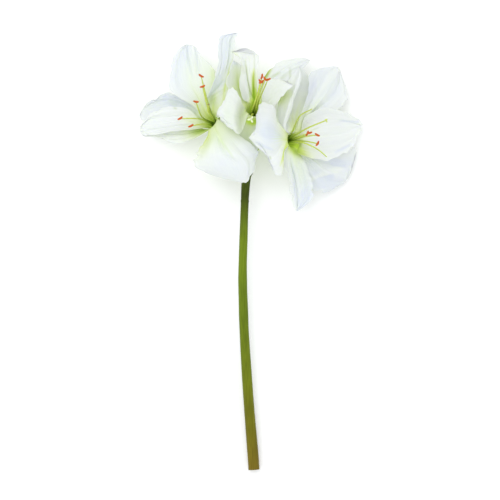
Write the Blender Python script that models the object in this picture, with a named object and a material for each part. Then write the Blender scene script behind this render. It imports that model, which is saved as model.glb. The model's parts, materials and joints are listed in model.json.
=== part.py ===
"""The amaryllis stem: one cut flower stalk with three open white blooms, lying on its back.

The floor is z = 0, +Y runs from the cut end to the blooms, and +X is to the right seen from above.
"""

import bpy
import numpy as np

# Driving dimensions, in metres
UNIT = 0.0015
BLADE = 0.00085
RING_RADIUS = 5.2
FUNNEL_RADIUS = 9.0
FUNNEL_HEIGHT = 13.0

# Points below are (right, down, up) in units of 1.5 mm, sketched as seen from straight above the
# sketch's middle, at this height: what lies higher was drawn further from the middle
SKETCH_MIDDLE = (250.0, 250.0)
SKETCH_HEIGHT = 1600.0

# Grid of one petal: steps across and along, and how much of its last row is left off at the tip
ACROSS = 8
ALONG = 16
BLUNT = 0.07

# Plain colours of the petals, the stalk, the stamens and the pistils
PETAL_WHITE = (0.86, 0.88, 0.84)
STALK_GREEN = (0.16, 0.30, 0.05)
THREAD_GREEN = (0.45, 0.50, 0.10)
STYLE_GREEN = (0.45, 0.55, 0.15)
PETAL_ROUGHNESS = 0.45
GREEN_ROUGHNESS = 0.5

for old in list(bpy.data.objects):
    bpy.data.objects.remove(old, do_unlink=True)


def metres(points):
    """Sketch points (right, down, up) as metres with +Y up the stalk."""
    points = np.asarray(points, float)
    up = points[..., 2:]
    flat = (points[..., :2] - SKETCH_MIDDLE) * [1.0, -1.0] * (1 - up / SKETCH_HEIGHT)
    return np.concatenate([flat, up], axis=-1) * UNIT


def unit(vector):
    vector = np.asarray(vector, float)
    return vector / np.linalg.norm(vector, axis=-1, keepdims=True)


# Each bloom: the middle of its ring where the petals start, and the way it faces
BLOOMS = {
    "left": ((217, 125, -2), (-0.60, -0.30, 0.74)),
    "middle": ((253, 116, 8), (0.10, -0.50, 0.83)),
    "right": ((285, 140, -2), (0.68, 0.0, 0.73)),
}


def bloom_frame(bloom):
    """Ring middle, axis, and the two directions across it: up the picture, and a quarter turn on."""
    middle, axis = BLOOMS[bloom]
    axis = unit(axis)
    up = np.array([0.0, -1.0, 0.0])
    first = unit(up - (up @ axis) * axis)
    second = -np.cross(axis, first)
    return np.asarray(middle, float), axis, first, second


def ring_point(bloom, degrees, radius, height):
    middle, axis, first, second = bloom_frame(bloom)
    turn = np.radians(degrees)
    return middle + height * axis + radius * (np.cos(turn) * first + np.sin(turn) * second)


def curve(points, last, t):
    """A smooth curve through the points, with the given slope at its last one."""
    points = np.asarray(points, float)
    slopes = np.empty_like(points)
    slopes[0] = points[1] - points[0]
    slopes[1:-1] = (points[2:] - points[:-2]) / 2
    slopes[-1] = last
    i = np.clip(np.floor(t).astype(int), 0, len(points) - 2)
    f = (t - i)[:, None]
    h00 = 2 * f**3 - 3 * f**2 + 1
    h10 = f**3 - 2 * f**2 + f
    h01 = -2 * f**3 + 3 * f**2
    h11 = f**3 - f**2
    return h00 * points[i] + h10 * slopes[i] + h01 * points[i + 1] + h11 * slopes[i + 1]


def ruffle(s, u, height, waves, shift):
    """Uneven waves of a petal's edges, in metres along its normals: s is -1 to 1 across, u 0 to 1 along."""
    side = np.sign(s)
    phase = waves * 2 * np.pi * u + shift + 1.1 * side
    wave = np.sin(phase) + 0.45 * np.sin(1.73 * phase + 2 * side + 0.6)
    return height * UNIT * np.abs(s) ** 2.5 * np.clip(u * 3 - 0.9, 0, 1) * wave


def sheet(bloom, sector, tucks, rows, tip, ripple, across, along, end):
    """Middle surface of a petal: a parabola across, through its left edge, midrib and right edge.

    The first two rows lie on the bloom's funnel, in the petal's sector of it.
    """
    angle, half = sector
    left = [
        ring_point(bloom, angle + half, RING_RADIUS, 0.0),
        ring_point(bloom, angle + half, FUNNEL_RADIUS + tucks[0], FUNNEL_HEIGHT),
    ]
    mid = [
        ring_point(bloom, angle, RING_RADIUS, 0.0),
        ring_point(bloom, angle, FUNNEL_RADIUS, FUNNEL_HEIGHT),
    ]
    right = [
        ring_point(bloom, angle - half, RING_RADIUS, 0.0),
        ring_point(bloom, angle - half, FUNNEL_RADIUS + tucks[1], FUNNEL_HEIGHT),
    ]
    for a, b, c in rows:
        left.append(np.array(a, float))
        mid.append(np.array(b, float))
        right.append(np.array(c, float))
    tip = np.array(tip, float)
    over = (right[-1] - left[-1]) / 2
    on = tip - mid[-1]
    left.append(tip)
    right.append(tip)
    mid.append(tip)
    last = len(mid) - 1
    t = np.linspace(0, 1, along + 1)
    t = (1 - (1 - t) ** 1.25) * (last - end)
    s = np.linspace(-1, 1, across + 1)[None, :, None]
    lefts = curve(left, 0.75 * over + 0.3 * on, t)[:, None]
    mids = curve(mid, on, t)[:, None]
    rights = curve(right, -0.75 * over + 0.3 * on, t)[:, None]
    surface = lefts * s * (s - 1) / 2 + mids * (1 - s**2) + rights * s * (s + 1) / 2
    return metres(surface), ruffle(s[..., 0], t[:, None] / last, *ripple)


def normals_of(grid):
    """Unit normals of a grid of points, facing the petal's inner side."""
    down = np.gradient(grid, axis=0)
    over = np.gradient(grid, axis=1)
    return unit(np.cross(over, down))


def blade(grid, thickness):
    """Closed blade on both sides of a grid, split into triangles alike on its two faces."""
    rows, columns, _ = grid.shape
    normal = normals_of(grid) * thickness / 2
    points = np.concatenate([(grid + normal).reshape(-1, 3), (grid - normal).reshape(-1, 3)])
    index = np.arange(rows * columns).reshape(rows, columns)
    a = index[:-1, :-1].ravel()
    b = index[:-1, 1:].ravel()
    c = index[1:, 1:].ravel()
    d = index[1:, :-1].ravel()
    top = np.concatenate([np.stack([a, b, c], 1), np.stack([a, c, d], 1)])
    under = top[:, ::-1] + rows * columns
    rim = np.concatenate([index[0, :-1], index[:-1, -1], index[-1, :0:-1], index[:0:-1, 0]])
    after = np.roll(rim, -1)
    low = rows * columns
    side = [np.stack([rim, rim + low, after + low], 1), np.stack([rim, after + low, after], 1)]
    return points, np.concatenate([top, under, *side])


def add(name, points, faces, colour, roughness):
    mesh = bpy.data.meshes.new(name)
    mesh.from_pydata(points.tolist(), [], faces.tolist())
    mesh.update()
    piece = bpy.data.objects.new(name, mesh)
    bpy.context.scene.collection.objects.link(piece)
    material = bpy.data.materials.new(name)
    material.use_nodes = True
    shader = material.node_tree.nodes["Principled BSDF"]
    shader.inputs["Base Color"].default_value = (*colour, 1)
    shader.inputs["Roughness"].default_value = roughness
    mesh.materials.append(material)
    return piece


# Petals: sector on the ring, tuck of the two edges, rows of (left, midrib, right), tip, ripple
PETALS = {
    "left_petal_1": ("left", (37, 20), (-0.6, 0.6), [
        ((192, 105, 9), (199, 99, 4), (209, 98, 4)),
        ((172, 92, 10), (190, 81, 5), (216, 80, 7)),
        ((170, 73, 6), (188, 63, 1), (212, 67, 3)),
        ((174, 57, 1), (188, 52, -3), (201, 57, 1)),
        ((180.5, 48, -3), (189, 46.5, -5), (197.5, 49, -2)),
    ], (189, 43, -6), (1.0, 2.5, 0.0)),
    "left_petal_2": ("left", (82, 20), (0.6, 0.6), [
        ((189, 117, -2), (187, 108, -5), (190, 99, -2)),
        ((168, 118, -9), (167, 105, -13), (169, 93, -9)),
        ((151, 120, -18), (151, 109, -20), (153, 99, -17)),
        ((144, 121, -23), (143, 114, -24), (144, 107, -21)),
    ], (138.5, 117, -28.2), (1.1, 3.0, 0.6)),
    "left_petal_3": ("left", (128, 21), (-0.6, -0.6), [
        ((188, 130, 9), (186, 120, 5), (188, 109, 7)),
        ((168, 132, 9), (166, 122, 4), (168, 107, 6)),
        ((151, 135, 5), (150, 125, 1), (153, 112, 4)),
        ((143, 136, 1), (143, 129, -1), (144, 121, 1)),
    ], (139, 130, -3), (1.1, 3.0, 1.4)),
    "left_petal_4": ("left", (174, 20), (0.6, 0.6), [
        ((191, 140, 9), (189, 133, 2), (189, 124, -2)),
        ((171, 143, 4), (169, 134, -2), (170, 125, -6)),
        ((155, 137, -2), (153, 132, -5), (154, 126, -8)),
    ], (142, 136, -6), (0.8, 3.0, 2.2)),
    "left_petal_5": ("left", (339, 32), (-0.6, 0.0), [
        ((205.5, 102, 15), (215, 98, 9), (229, 99, 11)),
        ((211.5, 87, 16), (221, 80, 8), (229.5, 78, 6)),
        ((218, 66, 10), (226, 62, 4), (233, 60, 2)),
        ((218, 45, 5), (227, 46, 0), (235, 46, -1)),
        ((221, 36, 3), (229, 37, -1), (236, 39, -3)),
    ], (237.5, 32.5, -6), (1.0, 3.2, 0.3)),
    "left_petal_6": ("left", (239, 39), (2.0, -0.6), [
        ((238, 134, 24), (221, 139, 25), (207, 137, 21)),
        ((254, 147, 26), (227, 153, 31), (200, 148, 23)),
        ((258.5, 155, 24), (234, 163, 32), (194.5, 160, 22)),
        ((253.5, 168, 21), (239, 173, 30), (206, 173, 20)),
    ], (244, 183.5, 24), (1.0, 2.5, 1.0)),
    "middle_petal_1": ("middle", (8, 24), (-0.6, 0.0), [
        ((243, 99, 18), (250, 96, 12), (257, 97, 13)),
        ((239.5, 84, 18), (249, 81, 12), (257.5, 80, 12)),
        ((241, 66, 17), (250, 63, 11), (258, 64, 10)),
        ((238.5, 57, 19), (246, 49, 14), (256.5, 54.5, 11)),
    ], (232, 52, 21), (0.4, 2.0, 0.0)),
    "middle_petal_2": ("middle", (58, 21), (0.6, 0.6), [
        ((238, 101, 17), (243, 97, 11), (248, 95, 8)),
        ((226.5, 86, 16), (238, 83, 8), (247, 80, 3)),
        ((229.5, 70, 11), (237, 68, 5), (244, 68, 0)),
    ], (233.5, 61, 6), (0.5, 2.0, 0.5)),
    "middle_petal_3": ("middle", (107, 23), (-0.6, -0.6), [
        ((242.3, 130, 28.3), (240.2, 117, 26.4), (243, 105, 27)),
        ((238, 134, 36), (234, 117, 38), (239, 95, 33)),
        ((231, 129, 38), (227, 115, 39), (231.5, 87.5, 34)),
        ((225, 123, 37), (223, 113, 38), (225.5, 95, 34)),
        ((220.5, 119, 36), (220, 112.5, 37), (221.5, 105, 34)),
    ], (217, 113.5, 34), (0.7, 3.0, 2.0)),
    "middle_petal_4": ("middle", (170, 32), (0.6, 0.6), [
        ((263, 128, 18), (251, 133, 13), (240.5, 127.5, 18)),
        ((262, 141, 11), (251, 147, 7), (239, 139, 12)),
    ], (250, 159, 2), (0.4, 2.0, 0.0)),
    "middle_petal_5": ("middle", (248, 29), (-0.6, -0.6), [
        ((262, 100, 21), (266, 104, 19), (271, 109, 24)),
        ((265, 82, 18), (274, 90, 20), (280, 99, 26)),
        ((279, 79, 22), (284, 83, 24), (287, 91, 27)),
    ], (293, 85, 27), (0.5, 2.0, 0.8)),
    "middle_petal_6": ("middle", (313, 28), (0.0, 0.6), [
        ((259, 92, 9), (264, 93, 7), (268, 98, 9)),
        ((266, 74, 3), (274, 79, 1), (281, 86, 5)),
        ((279, 62, -2), (287, 68, -3), (293, 77, 0)),
        ((299, 57.5, -5), (302, 62, -6), (304, 68, -5)),
    ], (310, 60, -9), (0.7, 3.0, 0.2)),
    "right_petal_1": ("right", (92, 32), (0.0, 0.6), [
        ((284, 152, 23), (281, 139, 24), (278, 121, 22)),
        ((283, 172, 33), (270, 139, 35), (273, 105, 32)),
        ((275, 174, 34), (263, 139, 37), (260, 104, 33)),
        ((268, 157, 35), (258, 138, 37), (257.5, 117, 35)),
        ((258, 147, 35), (253, 138, 36), (256, 128, 35)),
    ], (249, 138, 34), (1.0, 3.0, 0.0)),
    "right_petal_2": ("right", (22, 25), (-0.8, 0.6), [
        ((292, 126, 16), (278, 121, 7), (304, 114, -1)),
        ((302, 102, 18), (280, 98, 8), (310, 99, -3)),
        ((306, 82, 14), (290, 79, 6), (313, 83, -7)),
    ], (301, 66, 1), (0.8, 3.0, 0.0)),
    "right_petal_3": ("right", (325, 26), (-0.6, 0.6), [
        ((302, 111, 8), (309, 113, 1), (314, 118, -1)),
        ((308, 92, 5), (322, 96, -7), (336, 112, -6)),
        ((311, 73, 1), (331, 80, -17), (347, 100, -15)),
        ((322, 68, -15), (336, 72, -24), (344, 83, -22)),
    ], (337, 66, -28.8), (1.1, 3.0, 1.0)),
    "right_petal_4": ("right", (271, 25), (-0.6, -0.6), [
        ((305, 117, 7), (309, 135, 1), (298.5, 153.5, 12)),
        ((325, 108, 3), (328, 132, -5), (325, 160, 5)),
        ((345, 112, -6), (347, 130, -13), (346, 153, -3)),
        ((358, 119, -15), (357, 128, -17), (357, 140, -12)),
    ], (363, 126, -20), (1.2, 3.5, 0.4)),
    "right_petal_5": ("right", (219, 24), (0.6, 0.6), [
        ((316, 151, -1), (311, 158, -3), (303, 160, 1)),
        ((340, 149, -9), (329, 170, -11), (309, 178, -5)),
        ((356, 150, -15), (345, 172, -17), (319, 193.5, -11)),
    ], (346, 182, -20), (1.1, 3.5, 1.7)),
    "right_petal_6": ("right", (162, 29), (-0.6, 0.0), [
        ((304, 161, 6), (295, 162, 9), (283.5, 158, 12)),
        ((310.5, 178, 4), (300, 180, 4), (289, 180, 8)),
        ((313.5, 197, 1), (303, 197, -1), (290.5, 196, 3)),
    ], (296.5, 211.5, -3), (1.1, 3.0, 0.9)),
}

for name, (bloom, sector, tucks, rows, tip, ripple) in PETALS.items():
    grid, wave = sheet(bloom, sector, tucks, rows, tip, ripple, ACROSS, ALONG, BLUNT)
    grid = grid + normals_of(grid) * wave[..., None]
    points, faces = blade(grid, BLADE)
    add(name, points, faces, PETAL_WHITE, PETAL_ROUGHNESS)


def swept(path, radii, sides, rings, dish=()):
    """Closed round tube along a smooth path, with its radius at each path point, and a dished end."""
    path = np.asarray(path, float)
    t = np.linspace(0, len(path) - 1, rings)
    line = curve(path, path[-1] - path[-2], t)
    size = np.interp(t, np.arange(len(radii)), radii)
    tangent = unit(np.gradient(line, axis=0))
    across = unit(np.cross(tangent[0], [0.31, 0.22, 0.93]))
    frames = []
    for step in tangent:
        across = unit(across - (across @ step) * step)
        frames.append(across)
    side = np.array(frames)
    other = np.cross(tangent, side)
    for radius, back in dish:
        line = np.concatenate([line, line[rings - 1 : rings] + back * tangent[-1:]])
        size = np.append(size, radius)
        side = np.concatenate([side, side[-1:]])
        other = np.concatenate([other, other[-1:]])
    turn = np.arange(sides) * 2 * np.pi / sides
    ring = np.cos(turn)[None, :, None] * side[:, None] + np.sin(turn)[None, :, None] * other[:, None]
    points = line[:, None] + ring * size[:, None, None]
    count = len(line)
    points = np.concatenate([points.reshape(-1, 3), line[:1], line[-1:]])
    index = np.arange(count * sides).reshape(count, sides)
    a = index[:-1].ravel()
    b = np.roll(index, -1, 1)[:-1].ravel()
    c = np.roll(index, -1, 1)[1:].ravel()
    d = index[1:].ravel()
    start = np.stack([np.roll(index[0], -1), index[0], np.full(sides, count * sides)], 1)
    finish = np.stack([index[-1], np.roll(index[-1], -1), np.full(sides, count * sides + 1)], 1)
    faces = np.concatenate([np.stack([a, b, c], 1), np.stack([a, c, d], 1), start, finish])
    return metres(points), faces[:, ::-1]


def join(name, pieces, colour, roughness):
    """One Boolean union of closed meshes that overlap, left as one plain mesh."""
    group = bpy.data.collections.new(name + "_pieces")
    bpy.context.scene.collection.children.link(group)
    first = add(name, *pieces[0], colour, roughness)
    for number, (points, faces) in enumerate(pieces[1:]):
        other = add(name + "_piece_" + str(number), points, faces, colour, roughness)
        bpy.context.scene.collection.objects.unlink(other)
        group.objects.link(other)
    union = first.modifiers.new("union", "BOOLEAN")
    union.operation = "UNION"
    union.solver = "MANIFOLD"
    union.operand_type = "COLLECTION"
    union.collection = group
    graph = bpy.context.evaluated_depsgraph_get()
    mesh = bpy.data.meshes.new_from_object(first.evaluated_get(graph))
    first.modifiers.clear()
    first.data = mesh
    for other in list(group.objects):
        bpy.data.objects.remove(other, do_unlink=True)
    bpy.data.collections.remove(group)
    return first


# The stalk, from its swollen top down to the cut end: points, then radius at each
STALK = [
    (248, 166, 0.5),
    (247.6, 171, -0.2),
    (246.4, 178, -0.8),
    (244.8, 200, -2.6),
    (243.2, 247, -6.5),
    (242.7, 276, -8.8),
    (243.2, 304, -11.0),
    (244.4, 335, -13.4),
    (248.4, 397, -18.0),
    (253, 456, -22.2),
    (254, 469.5, -23.15),
]
STALK_RADII = [3.2, 6.0, 4.5, 3.9, 4.1, 4.35, 4.55, 4.7, 5.1, 5.5, 5.5]
OVARY_RADIUS = 4.5

# Each flower's foot: own short stalk, ovary and tube, up to the rim of the ring
FEET = {
    "left": [(246, 173, 0), (243, 160, -8), (236, 143, -15), (229.5, 132.5, -16.5)],
    "middle": [(248, 174, 0), (248.5, 158, -10), (249.5, 140, -14), (250.8, 127.5, -9.5)],
    "right": [(250, 173, 0), (251, 160, -11), (257, 147, -17), (268, 141, -17.5)],
}
FOOT_RADII = [3.0, 2.9, 3.1, OVARY_RADIUS, 3.5, 4.4, 5.6]
DISH = [(4.9, 0.0), (3.7, -3.0), (3.0, -6.2)]
FOOT_HEIGHTS = (-13.5, -6.5, -0.5)

# Sides round and rings along each kind of tube
STALK_GRID = (14, 21)
FOOT_GRID = (12, 13)
FILAMENT_GRID = (5, 6)
ANTHER_GRID = (5, 5)
STYLE_GRID = (5, 7)
TONGUE_GRID = (5, 4)

stalk_pieces = [swept(STALK, STALK_RADII, *STALK_GRID)]
for bloom, foot in FEET.items():
    up = [ring_point(bloom, 0, 0, height) for height in FOOT_HEIGHTS]
    stalk_pieces.append(swept(foot + up, FOOT_RADII, *FOOT_GRID, DISH))
join("stalk", stalk_pieces, STALK_GREEN, GREEN_ROUGHNESS)

# Stamens: turn on the ring, points passed, anther middle and the way it lies
STAMENS = {
    "left": [
        (20, [(208, 103, 20)], (201, 76, 30), (0.85, 0.5, 0.1)),
        (330, [(208, 108, 24)], (202.6, 86.6, 32), (0.93, -0.35, 0.1)),
        (60, [(202, 117, 16)], (196, 101.8, 26), (1, 0.15, 0.1)),
        (100, [(200, 119, 20)], (180.3, 118.4, 30), (0.8, -0.5, 0.2)),
        (160, [(204, 124, 20)], (191, 126, 32), (0.85, -0.45, 0.1)),
        (292, [(222, 115, 15)], (229, 111, 23), (0.5, 0.8, 0.2)),
    ],
    "middle": [
        (0, [(257, 99, 29)], (262, 76.5, 45), (0.25, -0.95, 0.1)),
        (315, [(260, 98, 28)], (268, 79.5, 47), (0.95, -0.2, 0.1)),
        (50, [(256, 100, 31)], (260.5, 81.5, 50), (0.6, 0.6, 0.2)),
        (275, [(257.5, 101, 31)], (265, 79, 53), (0.4, 0.5, 0.3)),
        (235, [(260, 109, 27)], (269, 111, 29), (0.2, 0.9, 0.2)),
        (95, [(254.5, 103, 32)], (261.5, 82, 55), (0.8, -0.5, 0.2)),
    ],
    "right": [
        (320, [(291, 134.8, 9), (293, 130, 15), (300, 116, 20)], (312, 109, 24), None),
        (290, [(297.5, 138, 17)], (307.5, 133.5, 27), (0.45, -0.85, 0.2)),
        (255, [(301, 136, 20)], (309.5, 133, 30), (0.95, -0.2, 0.1)),
        (230, [(303, 137, 22)], (317.2, 135, 34), (0.7, 0.4, 0.3)),
        (200, [(303, 141, 20)], (317.7, 143.6, 33), (0.5, -0.85, 0.2)),
        (165, [(301, 142, 20), (317, 149, 33)], (326.8, 157, 37), None),
    ],
}
PISTILS = {
    "left": [(213, 118, 16), (208, 111, 26), (208.7, 105, 33)],
    "middle": [(252.3, 114, 24), (251, 119, 38)],
    "right": [(296, 134.5, 14), (310, 127, 29), (325.7, 120.5, 42)],
}
THREAD_RADII = (0.9, 0.6)
STYLE_RADII = (0.95, 0.7)
ANTHER_RADII = [0.35, 0.95, 1.15, 0.95, 0.35]
ANTHER_REACH = (-2.9, -1.6, 0, 1.6, 2.9)

# The ring that the filaments stand on: how deep, how far out and how thick, its turns and its sides
RING_DEPTH = -5.2
RING_OUT = 1.9
RING_THICK = 0.7
RING_TURNS = 12
RING_SIDES = 5

# Where each filament leaves the tube's bottom: out from the axis, and up it
THREAD_OUT = 2.5
THREAD_UP = 3.0

# The style's two heights on the axis, and the three tongues at its tip: turns, radii, reach
STYLE_HEIGHTS = (-5.9, 2.0)
TONGUE_TURNS = (0.3, 2.4, 4.5)
TONGUE_RADII = [0.6, 0.65, 0.5]
TONGUE_REACH = 2.2
TONGUE_ROOT = 0.8
TONGUE_RISE = 0.7


def stamen_ring(bloom):
    """Small ring in the bottom of the tube, that the six filaments of a bloom stand on."""
    turns = np.arange(RING_TURNS) * 360.0 / RING_TURNS
    rounds = np.arange(RING_SIDES) * 2 * np.pi / RING_SIDES
    points = [
        ring_point(bloom, turn, RING_OUT + RING_THICK * np.cos(r), RING_DEPTH + RING_THICK * np.sin(r))
        for turn in turns
        for r in rounds
    ]
    index = np.arange(RING_TURNS * RING_SIDES).reshape(RING_TURNS, RING_SIDES)
    a = index.ravel()
    b = np.roll(index, -1, 1).ravel()
    c = np.roll(np.roll(index, -1, 1), -1, 0).ravel()
    d = np.roll(index, -1, 0).ravel()
    faces = np.concatenate([np.stack([a, b, c], 1), np.stack([a, c, d], 1)])
    return metres(points), faces[:, ::-1]


for bloom, stamens in STAMENS.items():
    pieces = [stamen_ring(bloom)]
    for turn, via, end, lie in stamens:
        root = ring_point(bloom, turn, RING_OUT, RING_DEPTH)
        path = [root, ring_point(bloom, turn, THREAD_OUT, THREAD_UP), *via, end]
        radii = np.linspace(THREAD_RADII[0], THREAD_RADII[1], len(path))
        pieces.append(swept(path, radii, *FILAMENT_GRID))
        if lie is not None:
            way = unit(lie)
            end = np.array(end, float)
            spine = [end + way * reach for reach in ANTHER_REACH]
            pieces.append(swept(spine, ANTHER_RADII, *ANTHER_GRID))
    join(bloom + "_stamens", pieces, THREAD_GREEN, GREEN_ROUGHNESS)
    path = [ring_point(bloom, 0, 0, height) for height in STYLE_HEIGHTS] + PISTILS[bloom]
    radii = np.linspace(STYLE_RADII[0], STYLE_RADII[1], len(path))
    pieces = [swept(path, radii, *STYLE_GRID)]
    tip = np.array(path[-1], float)
    before = unit(tip - np.array(path[-2], float))
    flat = unit(np.cross(before, [0.2, 0.9, 0.3]))
    third = np.cross(before, flat)
    for turn in TONGUE_TURNS:
        out = np.cos(turn) * flat + np.sin(turn) * third
        bend = tip + out + before * TONGUE_RISE
        spine = [tip - before * TONGUE_ROOT, bend, tip + out * TONGUE_REACH + before]
        pieces.append(swept(spine, TONGUE_RADII, *TONGUE_GRID))
    join(bloom + "_pistil", pieces, STYLE_GREEN, GREEN_ROUGHNESS)

# Shift to the middle of the bounding box, standing on its lowest points
bpy.context.view_layer.update()
every = []
for piece in bpy.data.objects:
    corners = np.empty(len(piece.data.vertices) * 3, np.float32)
    piece.data.vertices.foreach_get("co", corners)
    every.append(corners.reshape(-1, 3))
every = np.concatenate(every)
low = every.min(axis=0)
high = every.max(axis=0)
shift = np.array([-(low[0] + high[0]) / 2, -(low[1] + high[1]) / 2, -low[2]])
for piece in bpy.data.objects:
    corners = np.empty(len(piece.data.vertices) * 3, np.float32)
    piece.data.vertices.foreach_get("co", corners)
    corners = corners.reshape(-1, 3) + shift
    piece.data.vertices.foreach_set("co", corners.astype(np.float32).ravel())
    piece.data.update()
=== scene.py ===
import json

import bpy
import numpy as np
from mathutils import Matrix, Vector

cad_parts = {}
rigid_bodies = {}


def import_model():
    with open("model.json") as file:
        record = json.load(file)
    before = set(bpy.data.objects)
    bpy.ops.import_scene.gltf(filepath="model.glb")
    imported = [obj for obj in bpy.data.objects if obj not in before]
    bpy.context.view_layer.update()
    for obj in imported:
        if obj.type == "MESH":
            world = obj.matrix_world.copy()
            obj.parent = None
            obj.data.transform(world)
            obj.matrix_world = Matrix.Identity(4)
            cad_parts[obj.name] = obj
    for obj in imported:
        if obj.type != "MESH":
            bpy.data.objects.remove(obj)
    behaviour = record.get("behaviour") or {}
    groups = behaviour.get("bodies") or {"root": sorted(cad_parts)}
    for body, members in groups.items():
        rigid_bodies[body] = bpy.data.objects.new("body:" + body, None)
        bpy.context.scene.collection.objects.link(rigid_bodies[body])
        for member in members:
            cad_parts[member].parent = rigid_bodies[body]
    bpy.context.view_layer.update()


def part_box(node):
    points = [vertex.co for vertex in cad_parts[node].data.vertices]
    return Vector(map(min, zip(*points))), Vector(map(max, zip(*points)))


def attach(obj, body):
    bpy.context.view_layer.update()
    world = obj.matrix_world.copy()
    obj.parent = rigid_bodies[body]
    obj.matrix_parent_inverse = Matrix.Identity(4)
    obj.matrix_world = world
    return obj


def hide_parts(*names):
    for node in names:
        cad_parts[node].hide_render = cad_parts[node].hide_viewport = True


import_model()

# The stalk is one grown piece of green plant tissue: the thick bare scape, cut off square at its foot,
# and at its swollen top a short stalk, an ovary and a tube for each of the three blooms. Its skin is
# smooth, with fine flutes along it and one faint ring where the young stalk once paused in growing.

# The sketch that every path and petal is drawn on: points are (right, down, up) in units of 1.5 mm, as
# seen from straight above its middle, at this height: what lies higher was drawn further from the middle
UNIT = 0.0015
SKETCH_MIDDLE = (250.0, 250.0)
SKETCH_HEIGHT = 1600.0

# Each bloom: the middle of its ring where the petals start, and the way it faces
BLOOMS = {
    "left": ((217, 125, -2), (-0.6, -0.3, 0.74)),
    "middle": ((253, 116, 8), (0.1, -0.5, 0.83)),
    "right": ((285, 140, -2), (0.68, 0.0, 0.73)),
}

# The scape from its swollen top down to the cut end: points, then the radius at each
SCAPE = [
    (248, 166, 0.5), (247.6, 171, -0.2), (246.4, 178, -0.8), (244.8, 200, -2.6),
    (243.2, 247, -6.5), (242.7, 276, -8.8), (243.2, 304, -11.0), (244.4, 335, -13.4),
    (248.4, 397, -18.0), (253, 456, -22.2), (254, 469.5, -23.15),
]
SCAPE_RADII = [3.2, 6.0, 4.5, 3.9, 4.1, 4.35, 4.55, 4.7, 5.1, 5.5, 5.5]

# Each flower's foot: its own short stalk, ovary and tube, up to the rim of the ring
FEET = {
    "left": [(246, 173, 0), (243, 160, -8), (236, 143, -15), (229.5, 132.5, -16.5)],
    "middle": [(248, 174, 0), (248.5, 158, -10), (249.5, 140, -14), (250.8, 127.5, -9.5)],
    "right": [(250, 173, 0), (251, 160, -11), (257, 147, -17), (268, 141, -17.5)],
}
FOOT_RADII = [3.0, 2.9, 3.1, 4.5, 3.5, 4.4, 5.6]
FOOT_HEIGHTS = (-13.5, -6.5, -0.5)

# What closes an end, as circles of a radius and a height: the hollow in a tube, and the cut, which has a
# soft bruised edge and a face that has dried a little hollow
DISH = [(4.9, 0.0), (3.7, -3.0), (3.0, -6.2)]
CUT = [(5.4, 0.12), (5.15, 0.22), (4.6, 0.16), (2.4, -0.05)]

# Sides and rings of the frame's own plain stalk and feet, and of the finer ones made here
PLAIN_SCAPE, PLAIN_FOOT = (14, 21), (12, 13)
FINE_SCAPE, FINE_FOOT = (68, 460), (48, 110)


def unit(vector):
    """The vector, or each row of vectors, divided by its length."""
    vector = np.asarray(vector, float)
    return vector / np.linalg.norm(vector, axis=-1, keepdims=True)


def metres(points):
    """Sketch points drawn in towards the middle by their share of the sketch's height, with down turned
    to -Y, times the unit."""
    points = np.asarray(points, float)
    up = points[..., 2:]
    flat = (points[..., :2] - SKETCH_MIDDLE) * [1.0, -1.0] * (1 - up / SKETCH_HEIGHT)
    return np.concatenate([flat, up], axis=-1) * UNIT


def ring_point(bloom, degrees, radius, height):
    """A point round a bloom's axis: its middle, plus height along the axis, plus the radius turned by
    that many degrees from the picture's up, on towards the viewer's left."""
    middle, axis = BLOOMS[bloom]
    axis = unit(axis)
    up = np.array([0.0, -1.0, 0.0])
    first = unit(up - (up @ axis) * axis)
    second = -np.cross(axis, first)
    turn = np.radians(degrees)
    across = np.cos(turn) * first + np.sin(turn) * second
    return np.asarray(middle, float) + height * axis + radius * across


def curve(points, last, t):
    """Cubic through the points with half the step between its neighbours as the slope at each, and the
    given slope at the last one, read at every t."""
    points = np.asarray(points, float)
    slopes = np.empty_like(points)
    slopes[0] = points[1] - points[0]
    slopes[1:-1] = (points[2:] - points[:-2]) / 2
    slopes[-1] = last
    i = np.clip(np.floor(t).astype(int), 0, len(points) - 2)
    f = (t - i)[..., None]
    h00 = 2 * f**3 - 3 * f**2 + 1
    h10 = f**3 - 2 * f**2 + f
    h01 = -2 * f**3 + 3 * f**2
    h11 = f**3 - f**2
    return h00 * points[i] + h10 * slopes[i] + h01 * points[i + 1] + h11 * slopes[i + 1]


NO_PATHS_WAY = (0.31, 0.22, 0.93)


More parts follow.
